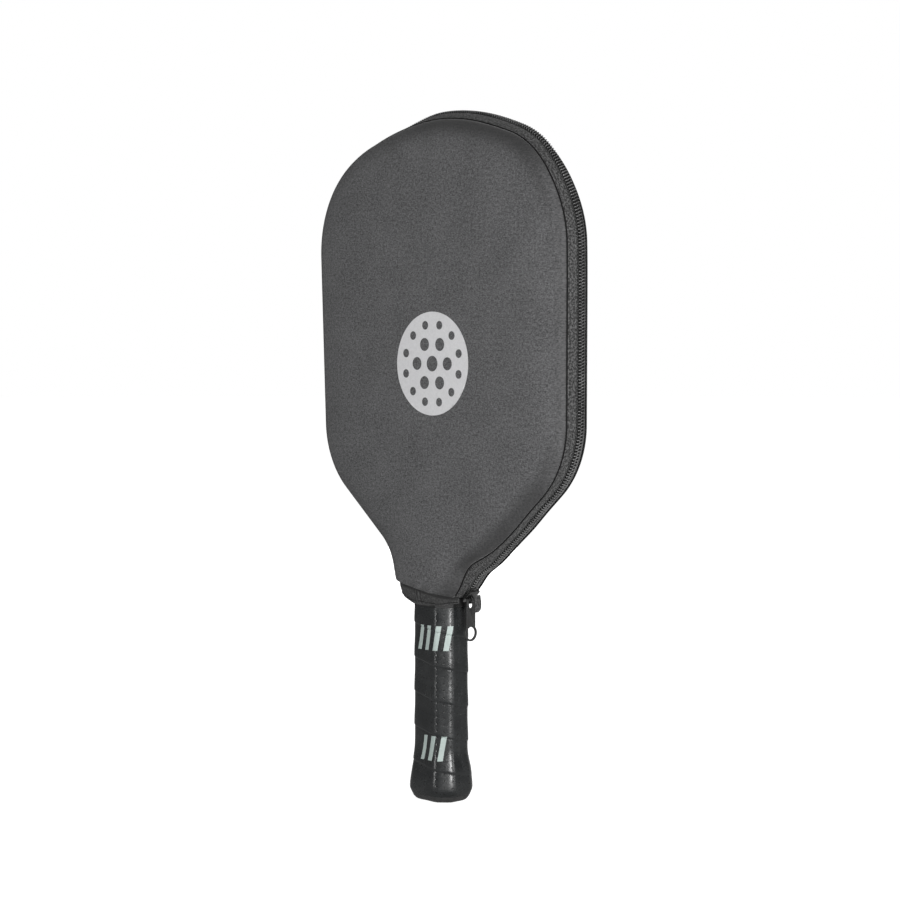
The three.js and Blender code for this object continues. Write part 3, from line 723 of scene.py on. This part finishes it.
def panel_points(side):
    """Points and faces of a panel's outer face. side is -1 for the front."""
    rings = panel_rings(side)
    flat = np.concatenate(rings)
    depth = panel_depth(flat[:, 2], flat[:, 0], flat[:, 1])
    points = np.stack([flat[:, 0], side * depth, flat[:, 1]], axis=1)
    middle_depth = panel_depth(HUB_INSET, MIDDLE[0], MIDDLE[1])
    points = np.vstack([points, [MIDDLE[0], side * float(middle_depth), MIDDLE[1]]])
    faces = grid_faces(len(rings), RING_POINTS, closed=True)
    hub = len(points) - 1
    last = hub - RING_POINTS
    faces += [(last + i, last + (i + 1) % RING_POINTS, hub) for i in range(RING_POINTS)]
    insets = np.append(flat[:, 2], HUB_INSET)
    # how much painted shade each point gets along the rim, kept for the cloth's colour
    painted_rim_shade = np.append(rim_shade_amount(flat[:, 2], flat[:, 3], flat[:, 0]), 0)
    return points, faces, insets, painted_rim_shade


STUFFING = {
    "quality": 6, "mass": 0.3, "tension_stiffness": 25, "compression_stiffness": 25,
    "bending_stiffness": 3, "use_pressure": True, "uniform_pressure_force": 4,
    "vertex_group_mass": "held",
}
STUFFING_FRAMES = 20


def stuffed_case():
    """The whole padded case as one closed form, swollen by cloth simulation."""
    front, front_faces = panel_points(-1)[:2]
    back, back_faces = panel_points(1)[:2]
    faces = front_faces + [tuple(len(front) + i for i in f[::-1]) for f in back_faces]
    for i in range(RING_POINTS):
        j = (i + 1) % RING_POINTS
        faces.append((i, len(front) + i, len(front) + j, j))
    piece = mesh_object("stuffed", np.vstack([front, back]), faces)
    modify(piece, "REMESH", mode="VOXEL", voxel_size=5 * MM)
    apply_modifiers(piece)
    before = np.array([v.co[:] for v in piece.data.vertices])

    edges = piece.vertex_groups.new(name="held")
    held = [i for i, p in enumerate(before) if abs(p[1]) < SEAM_Y + 1 * MM]
    edges.add(held, 1.0, "REPLACE")
    cloth = modify(piece, "CLOTH")
    for setting, value in STUFFING.items():
        setattr(cloth.settings, setting, value)
    cloth.settings.effector_weights.gravity = 0
    cloth.collision_settings.use_collision = False
    scene = bpy.context.scene
    for number in range(STUFFING_FRAMES):
        scene.frame_set(number + 1)
    shown = piece.evaluated_get(bpy.context.evaluated_depsgraph_get())
    after = np.array([v.co[:] for v in shown.to_mesh().vertices])
    shown.to_mesh_clear()
    piece.modifiers.clear()
    scene.frame_set(1)

    moved = after - before
    reach = np.linalg.norm(moved, axis=1)
    kept = SWELL_MOST * np.tanh(reach / SWELL_MOST)
    moved *= (kept / np.maximum(reach, 1e-9))[:, None]
    piece.data.vertices.foreach_set("co", (before + moved).ravel())
    piece.data.update()
    tree = BVHTree.FromObject(piece, bpy.context.evaluated_depsgraph_get())
    bpy.data.objects.remove(piece)
    return tree


def soft_undulation(x, z, seed):
    """A slow unevenness in the padding, in metres."""
    slow = noise.noise(Vector((x * 18, seed, z * 18)))
    finer = noise.noise(Vector((x * 55, seed + 7, z * 55)))
    return (0.28 * slow + 0.1 * finer) * MM


def panel_cover(name, side, swollen):
    points, faces, insets, painted_rim_shade = panel_points(side)
    uvs = points[:, [0, 2]].copy()
    settled = smooth(insets, 4 * MM, 16 * MM)
    for point, share in zip(points, settled):
        x, y, z = point
        if swollen is not None:
            hit = swollen.ray_cast(Vector((x, side * 0.1, z)), Vector((0, -side, 0)))[0]
            if hit is not None and abs(hit.y) > 0.8 * abs(y):
                y = hit.y
        y += side * soft_undulation(x, z, 3.0 * side)
        point[1] += share * (y - point[1])
    points[:, 1] = smoothed_rings(points, insets)
    piece = mesh_object(name, points, faces, uvs, [CLOTH])
    # the painted shade along the rim goes on the points as a layer
    layer = piece.data.attributes.new("painted_rim_shade", "FLOAT", "POINT")
    layer.data.foreach_set("value", painted_rim_shade.astype(np.float32))
    face_out(piece, lambda p: Vector((0, side, 0)))
    cut_at_mouth(piece)
    if side < 0:
        edit_mesh(piece, score_fold)
    return thicken(piece, PANEL_WALL, LINING)


def score_fold(bm):
    """Divides the panel's faces along the fold, in lines across its width."""
    for share in np.linspace(-1, 1, 11):
        divide(bm, crease_middle + across_crease * share, across_crease)


def smoothed_rings(points, insets):
    """The depth of each point, eased between its neighbours on the same ring."""
    depth = points[:-1, 1].reshape(-1, RING_POINTS)
    ring_inset = insets[:-1].reshape(-1, RING_POINTS)
    for _ in range(6):
        around = (np.roll(depth, 1, axis=1) + np.roll(depth, -1, axis=1)) / 2
        inner = depth.copy()
        inner[1:-1] = (depth[:-2] + depth[2:]) / 2
        eased = 0.5 * depth + 0.35 * around + 0.15 * inner
        depth = np.where(ring_inset > 4 * MM, eased, depth)
    return np.append(depth.ravel(), depth[-1].mean())


# ------------------------------ bands, tapes and coils

def band(name, s, out, y, across, material, wall, inside=None):
    """A band round the case: s runs along its outline, out and y give its section."""
    x, z = case.at(s, out)
    piece = grid_object(
        name, np.stack([x, y, z], axis=-1), np.stack([s, across], axis=-1), material)
    face_out(piece, lambda p: p - Vector((MIDDLE[0], 0, MIDDLE[1])))
    cut_at_mouth(piece)
    return thicken(piece, wall, inside)


def side_gusset():
    s, t = np.meshgrid(
        np.arange(0, zip_start - 0.3 * MM, 2.2 * MM), np.linspace(-1, 1, 15), indexing="ij")
    puckered = 0.12 * MM * np.sin(s / (3.2 * MM) * 2 * math.pi) * np.abs(t) ** 4
    out = 2.0 * MM * (1 - np.abs(t) ** 2.6) - 0.35 * MM + puckered
    y = t * (SEAM_Y - 0.1 * MM)
    return band("side_band", s, out, y, t * SEAM_Y, CLOTH, BAND_WALL, LINING)


def zip_tape(name, side):
    """One half of the tape, from under the panel's seam to just under the coil."""
    share = np.concatenate([[0, 0], np.linspace(0, 1, 14)])  # it starts with two tucked rows
    s, t = np.meshgrid(np.arange(zip_start, case.length, 1.6 * MM), share, indexing="ij")
    edge = side * (SEAM_Y - 0.05 * MM)
    y = edge + (zip_y(s) + side * 0.35 * MM - edge) * t
    rise = np.sin(np.clip(t * 1.25, 0, 1) * math.pi / 2)
    ridge = 0.25 * MM * np.exp(-((t - 0.62) / 0.06) ** 2)
    out = -0.5 * MM + (zip_out(s) + 1.0 * MM) * rise + seam_out(s, side) * (1 - rise) + ridge
    out[:, :2] = np.array([-2.6, -1.6]) * MM + seam_out(s, side)[:, :2]
    width = SEAM_Y - float(zip_y(zip_start)) * side
    across = (1 - t) * width
    across[:, :2] += np.array([2.1, 1.1]) * MM
    return band(name, s, out, y, across, TAPE, TAPE_WALL)


def coil_base(along):
    return zip_out(along) + 0.55 * MM


def zip_coil(name, side, start, end):
    """A filament wound in a flattened helix, half of it over the chain's middle."""
    turns = (end - start) / COIL_PITCH
    steps = int(turns * 12)
    angle = np.linspace(0, turns * 2 * math.pi, steps)
    phase = 0 if side < 0 else math.pi
    along = np.linspace(start, end, steps)
    lean = 0.18 * COIL_PITCH * np.sin(angle + phase)
    out = coil_base(along) + 0.75 * MM + COIL_HALF_HEIGHT * np.sin(angle + phase)
    x, z = case.at(along + lean, out)
    across = COIL_HALF_WIDTH * rounded(np.cos(angle + phase), 0.6)
    y = zip_y(along) + side * COIL_MIDDLE + across
    way = np.gradient(np.stack([x, y, z], axis=1), axis=0)
    further_x, further_z = case.at(along, out + MM)
    outward = np.stack([further_x - x, 0 * x, further_z - z], axis=1)
    ups = np.cross(way, np.cross(outward, way))
    ups /= np.maximum(np.linalg.norm(ups, axis=1), 1e-12)[:, None]
    return joined_object(name, [tube_along(x, y, z, COIL_WIRE, 6, ups)], NYLON)


def coil_cord(name, side, start, end):
    """The two-strand cord that runs through the coil."""
    along = np.arange(start, end, 2.5 * MM)
    x, z = case.at(along, coil_base(along) + 0.6 * MM)
    parts = []
    for strand in (0.95, 1.65):
        y = zip_y(along) + side * strand * MM
        parts.append(tube_along(x, y, z, CORD_RADIUS))
    return joined_object(name, parts, THREAD)


def tape_stitches(name, side):
    """The dashes of thread that hold the coil to the tape."""
    parts = []
    pitch = 2.4 * MM
    for s in np.arange(zip_start + 1 * MM, mouth_side - 2 * MM - pitch, pitch):
        stations = s + pitch * np.array([0.06, 0.16, 0.5, 0.84, 0.94])
        sink = np.array([-0.2, 0.05, 0.12, 0.05, -0.2]) * MM
        out = coil_base(stations) + 0.12 * seam_out(stations, side)
        x, z = case.at(stations, out + sink)
        y = zip_y(stations) + side * 3.1 * MM
        parts.append(tube_along(x, y, z, STITCH_RADIUS, 5))
    return joined_object(name, parts, THREAD)


def seam_piping(name, side, start, end):
    """The seam's folded edge in the groove between a panel and the band, near-black as painted
    shade of the groove.
    """
    along = np.arange(start, end, 2.0 * MM)
    x, z = case.at(along, 0.12 * MM + seam_out(along, side))
    y = np.full_like(along, side * (SEAM_Y - 0.1 * MM))
    return joined_object(name, [tube_along(x, y, z, 0.5 * MM)], THREAD)


# ------------------------------ collar

COLLAR_MIDDLE_X = -4.2 * MM
COLLAR_HALF = (24.3 * MM, 16.4 * MM)
COLLAR_TAPER = (2.2 * MM, 1.3 * MM)  # how much nearer the handle its lower edge is
COLLAR_OVERLAP = 2.6 * MM  # how far its upper edge goes up inside the panels
COLLAR_FRONT_END = -0.115  # angles of the two ends beside the slider
COLLAR_BACK_START = 0.47


def collar_plan(angle, inset, height=0.0):
    """Points round the collar. height is 0 at its lower edge and 1 at its upper edge."""
    half_x = COLLAR_HALF[0] - COLLAR_TAPER[0] * (1 - height)
    half_y = COLLAR_HALF[1] - COLLAR_TAPER[1] * (1 - height)
    middle = COLLAR_MIDDLE_X + COLLAR_TAPER[0] * (1 - height)
    x = middle + (half_x - inset) * rounded(np.cos(angle), 0.6)
    return x, (half_y - inset) * rounded(np.sin(angle), 0.6)


def collar_low(x):
    """The lower edge's height: it rises towards the plain side."""
    plain_side = 4 * MM * smooth(-x, 8 * MM, 26 * MM)
    return 120.2 * MM + plain_side + 1.6 * MM * smooth(x, 12 * MM, 20 * MM)


def collar_band(name, start, end):
    """A folded binding, rounded at its lower edge and tucked inside the panels at its upper.

    On the plain side its upper edge spreads out instead, to meet the side band.
    """
    k, t = np.meshgrid(np.arange(90), np.linspace(0, 1, 13), indexing="ij")
    angle = np.linspace(start, end, 90)[k]
    x_out = collar_plan(angle, 0)[0]
    low = collar_low(x_out) + 0.25 * MM * np.sin(angle * 9)
    height = mouth_z(x_out) + COLLAR_OVERLAP - low
    swell = 0.9 * MM * np.sin(np.clip(t * 1.1, 0, 1) * math.pi)
    at_band = smooth(-x_out, 18 * MM, 26 * MM)
    tuck = (2.4 - 3.0 * at_band) * MM * np.clip((t - 0.62) / 0.38, 0, 1) ** 1.3
    under = 0.9 * MM * np.clip((0.12 - t) / 0.12, 0, 1) ** 1.5
    x, y = collar_plan(angle, tuck + under - swell * 0.5, t)
    below_mouth = (1 - t) * height - COLLAR_OVERLAP
    piece = grid_object(
        name, np.stack([x, y, low + height * t], axis=-1),
        np.stack([k * 1.5 * MM, below_mouth], axis=-1), BINDING)
    face_out(piece, lambda p: p - Vector((COLLAR_MIDDLE_X, 0, p.z)))
    return thicken(piece, COLLAR_WALL)


def collar_stitch(name, start, end):
    """The dashes of thread near the collar's lower edge."""
    parts = []
    step, height = 0.085, 0.24
    for a in np.arange(start, end - step, step):
        angles = a + step * np.array([0.08, 0.2, 0.5, 0.8, 0.92])
        sink = np.array([0.35, 0.05, -0.02, 0.05, 0.35]) * MM
        x, y = collar_plan(angles, -0.45 * MM + sink, height)
        z = collar_low(x) + (mouth_z(x) - collar_low(x)) * height
        parts.append(tube_along(x, y, z, STITCH_RADIUS, 5, (0.0, 0.0, 1.0)))
    return joined_object(name, parts, THREAD)


# ------------------------------ handle

def octagon_radius(angle, half_x, half_y, bevel, sharpness=20.8):
    """The distance from the axis to an octagon with softened corners."""
    corner = (half_x + half_y - bevel) / math.sqrt(2)
    total = 0
    for k, reach in enumerate([half_x, corner, half_y, corner] * 2):
        total = total + np.maximum(np.cos(angle - k * math.pi / 4) / reach, 0) ** sharpness
    return total ** (-1 / sharpness)


def grip_surface(angle, z, lift=0.0):
    """A point on the wrap: octagonal, flared at the butt, with a step at each turn's edge."""
    flare = 3.1 * MM * (1 - smooth(z, 8 * MM, 33 * MM))
    flare = flare - 1.6 * MM * (1 - smooth(z, 3 * MM, 8 * MM))
    turn = (z / WRAP_PITCH + angle / (2 * math.pi) + 0.2) % 1.0
    ridge = WRAP_STEP * (smooth(turn, 0.0, 0.05) * (1 - 0.75 * smooth(turn, 0.05, 0.75)))
    end_fade = smooth(z, 14 * MM, 22 * MM)
    radius = octagon_radius(angle, *HANDLE_HALF, HANDLE_BEVEL)
    radius = radius + flare - 0.5 * MM + ridge * (0.35 + 0.65 * end_fade) + lift
    return np.stack([radius * np.cos(angle), radius * np.sin(angle), z + 0 * angle], axis=-1)


def grip_wrap():
    z = np.concatenate([np.linspace(4.2, 24, 34), np.linspace(24.5, 119.0, 230)]) * MM
    angles = np.linspace(0, 2 * math.pi, 193)[:-1]
    points = grip_surface(*np.meshgrid(angles, z))
    lip, top = points[0] * (0.9, 0.9, 1) - (0, 0, 0.1 * MM), points[-1] * (0.93, 0.93, 1)
    points = np.concatenate([[lip], points, [top]])
    rows, columns = points.shape[:2]
    faces = grid_faces(rows, columns, closed=True)
    piece = mesh_object("perforated_wrap", points.reshape(-1, 3), faces, None, [WRAP])
    row, column = np.divmod(np.arange(len(faces)), columns)
    heights = np.concatenate([[z[0]], z, [z[-1]]])
    u = (column[:, None] + [0, 1, 1, 0]) * (2 * math.pi / columns * GRIP_RADIUS)
    v = heights[row[:, None] + [0, 0, 1, 1]]
    layer = piece.data.uv_layers.new(name="UVMap")
    layer.data.foreach_set("uv", np.stack([u, v], axis=-1).ravel())
    return face_out(piece, lambda p: Vector((p.x, p.y, 0)))


def butt_end():
    """The moulded cap under the wrap, with a full round edge and a shallow dished bottom."""
    angles = np.linspace(0, 2 * math.pi, 97)[:-1]
    rim = grip_surface(angles, 7 * MM + 0 * angles)[:, :2]
    rows = []
    for bend in np.linspace(0, math.pi / 2, 15):
        inset = 6.5 * MM * (1 - math.cos(bend)) * 0.9 + 0.9 * MM
        ring = rim * (1 - inset / np.hypot(*rim.T))[:, None]
        rows.append(np.insert(ring, 2, 6.5 * MM * (1 - math.sin(bend)), axis=1))
    for share, rise in ((0.86, 0.0), (0.8, 0.25), (0.4, 0.3), (0.05, 0.3)):
        rows.append(np.insert(ring * share, 2, rise * MM, axis=1))
    points = np.array(rows)
    faces = grid_faces(len(rows), len(angles), closed=True)
    faces.append(tuple((len(rows) - 1) * len(angles) + i for i in range(len(angles))))
    piece = mesh_object("butt_cap_moulded", points.reshape(-1, 3), faces, None, [BUTT])
    return face_out(piece, lambda p: p - Vector((0, 0, 20 * MM)))


def grip_bars():
    """Two rows of slanted printed bars: heights up the handle in mm, and angles round it."""
    t, s = np.meshgrid(np.linspace(0, 1, 90), np.linspace(0, 1, 9), indexing="ij")
    left = -math.pi * 0.62
    bars = []
    for low, high, first, count in ((93, 108, left, 4), (26, 41, left + 0.2, 3)):
        for k in range(count):
            angle = first + k * 0.42 + 0.2 * s + 0.16 * t
            points = grip_surface(angle, (low + (high - low) * t) * MM, 0.1 * MM)
            bars.append((points.reshape(-1, 3), grid_faces(*t.shape)))
    piece = joined_object("grip_print", bars, GRIP_INK)
    return face_out(piece, lambda p: Vector((p.x, p.y, 0)))


# ------------------------------ print on the front

PRINT_MIDDLE = (9 * MM, 266 * MM)
PRINT_RADIUS = 31 * MM


def print_holes():
    """A ball seen from the side: one hole in the middle and two rings of holes round it."""
    holes = [(0.0, 0.0, 4.7 * MM)]
    for count, reach, radius, turn in ((6, 13.2, 3.9, 0.0), (12, 23.7, 2.6, 0.26)):
        for k in range(count):
            angle = turn + k * 2 * math.pi / count
            holes.append((
                reach * MM * math.cos(angle), reach * MM * math.sin(angle), radius * MM))
    return holes


def front_print(cover):
    """A thin film in the shape of a perforated ball, laid on the panel."""
    cell = 0.8 * MM
    count = int(PRINT_RADIUS / cell) + 2
    axis = np.arange(-count, count + 1) * cell
    x, z = np.meshgrid(axis, axis, indexing="ij")
    middle_x, middle_z = x[:-1, :-1] + cell / 2, z[:-1, :-1] + cell / 2
    kept = np.hypot(middle_x, middle_z) < PRINT_RADIUS
    px, pz = x.copy(), z.copy()
    for hole_x, hole_z, radius in print_holes() + [(0.0, 0.0, PRINT_RADIUS)]:
        if radius < PRINT_RADIUS:
            kept &= np.hypot(middle_x - hole_x, middle_z - hole_z) > radius
        reach = np.hypot(x - hole_x, z - hole_z)
        near = (np.abs(reach - radius) < 0.75 * cell) & (reach > 1e-6)
        px[near] = hole_x + ((x - hole_x) * radius / np.maximum(reach, 1e-9))[near]
        pz[near] = hole_z + ((z - hole_z) * radius / np.maximum(reach, 1e-9))[near]

    tree = BVHTree.FromObject(cover, bpy.context.evaluated_depsgraph_get())
    number, points, faces = {}, [], []
    for i, j in zip(*np.nonzero(kept)):
        corners = []
        for a, b in ((i, j), (i + 1, j), (i + 1, j + 1), (i, j + 1)):
            if (a, b) not in number:
                start = Vector((PRINT_MIDDLE[0] + px[a, b], -0.1, PRINT_MIDDLE[1] + pz[a, b]))
                hit = tree.ray_cast(start, Vector((0, 1, 0)))[0]
                number[a, b] = len(points)
                points.append((start.x, hit.y - 0.06 * MM, start.z))
            corners.append(number[a, b])
        faces.append(tuple(corners))
    piece = mesh_object("front_print", points, faces, None, [CASE_INK])
    return face_out(piece, lambda p: Vector((0, -1, 0)))


# ------------------------------ small parts

def finish_cad(node, material):
    """Gives a CAD part its material."""
    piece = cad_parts[node]
    piece.data.materials.clear()
    piece.data.materials.append(material)
    return piece


def soften_cad(node, width, material):
    """Rounds a CAD part's edges too."""
    piece = finish_cad(node, material)
    modify(piece, "WELD", merge_threshold=0.01 * MM)
    modify(
        piece, "BEVEL", width=width, segments=3, limit_method="ANGLE",
        angle_limit=math.radians(25), harden_normals=False)
    for polygon in piece.data.polygons:
        polygon.use_smooth = True


def zip_stop():
    """The metal clip pinched over both coils where the zip begins."""
    parts = []
    for shift in (0, 0.8, 1.6):
        y = np.linspace(-2.7, 2.7, 17) * MM
        along = zip_start + (1.3 + shift) * MM
        bend = 1 - np.abs(y / (2.7 * MM)) ** 4
        out = zip_out(along) + (0.2 * MM + 2.1 * MM * bend)
        x, z = case.at(np.full_like(y, along), out)
        parts.append(tube_along(x, zip_y(along) + y, z, 0.5 * MM, 8, (0.05, 0.0, 1.0)))
    return joined_object("zip_start_clip", parts, SLIDER_METAL)


def tape_tail():
    """The back tape's free end, folded over and hanging beside the slider."""
    low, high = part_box("zipper_tape_tail")
    low.y -= 1.7 * MM  # it is a little wider than the CAD's, towards the front
    t, s = np.meshgrid(np.linspace(0, 1, 22), np.linspace(0, 1, 12), indexing="ij")
    narrow = 1 - 0.55 * np.clip((t - 0.75) / 0.25, 0, 1) ** 2.2
    bow = 0.9 * MM * np.sin(t * math.pi * 0.9) + 0.35 * MM * np.sin(s * math.pi)
    x = (low.x + high.x) / 2 + bow - 0.3 * MM
    y = (low.y + high.y) / 2 + (high.y - low.y) * (s - 0.5) * narrow
    down = t * (high.z - low.z)
    piece = grid_object(
        "tape_tail", np.stack([x, y, high.z - down], axis=-1),
        np.stack([down, 3 * MM + s * (high.y - low.y)], axis=-1), TAPE)
    face_out(piece, lambda p: Vector((1, 0, 0)))
    return thicken(piece, TAIL_WALL)


# ------------------------------ build

def take_place(piece, body, slot, *nodes):
    """Puts a piece on a body, in the place of some CAD nodes."""
    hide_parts(*nodes)
    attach(piece, body)


def fold(piece):
    """Bakes a piece's placement into its mesh."""
    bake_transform(piece)


make_camera()
make_stage()

swollen = stuffed_case()

front = panel_cover("front_cover", -1, swollen)
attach(front_print(front), "flap")
fold(front)
take_place(front, "case", "case_cloth", "front_panel_fixed_strip", "front_panel_flap")

back = panel_cover("back_cover", 1, swollen)
take_place(back, "case", "case_cloth", "back_panel")

gusset = side_gusset()
take_place(gusset, "case", "case_cloth", "side_gusset")

coil_start = zip_start + 3.4 * MM
coil_end = mouth_side - (SLIDER_TOP + 0.4 * MM)
for name, side, body in (("back", 1, "case"), ("front", -1, "flap")):
    tape = zip_tape(f"tape_{name}", side)
    take_place(tape, body, "webbing", f"zipper_tape_{name}")
    coil = zip_coil(f"coil_{name}", side, coil_start, coil_end)
    take_place(coil, body, "zipper_nylon", f"zipper_coil_{name}")
    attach(coil_cord(f"coil_cord_{name}", side, coil_start, coil_end), body)
    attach(tape_stitches(f"tape_stitch_{name}", side), body)
    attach(seam_piping(f"seam_{name}", side, zip_start, mouth_side - 1.5 * MM), body)
    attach(seam_piping(f"side_seam_{name}", side, 23 * MM, zip_start), "case")

for name, start, end, sewn_from in (
        ("front", -math.pi, COLLAR_FRONT_END, 0.1 - math.pi),
        ("back", COLLAR_BACK_START, math.pi, COLLAR_BACK_START)):
    collar = collar_band(f"collar_{name}_band", start, end)
    stitches = collar_stitch(f"collar_stitch_{name}", sewn_from, end)
    if name == "front":
        fold(collar)
        fold(stitches)
    take_place(collar, "case", "collar_cloth", f"collar_{name}")
    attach(stitches, "case")

take_place(grip_wrap(), "case", "grip_wrap", "grip_wrap")
take_place(butt_end(), "case", "butt_plastic", "butt_cap")
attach(grip_bars(), "case")

tail = tape_tail()
take_place(tail, "case", "webbing", "zipper_tape_tail")
take_place(zip_stop(), "case", "slider_metal", "zipper_bottom_stop")

soften_cad("slider_body", 0.22 * MM, SLIDER_METAL)
soften_cad("slider_crown", 0.2 * MM, SLIDER_METAL)
soften_cad("pull_tab", 0.25 * MM, TAB_METAL)
for node, material in (
        ("paddle_core", CORE), ("paddle_face_front", CARBON), ("paddle_face_back", CARBON),
        ("edge_guard", EDGE), ("handle_shell_front", FOAM), ("handle_shell_back", FOAM),
        ("grip_finishing_tape", FINISH_TAPE)):
    finish_cad(node, material)
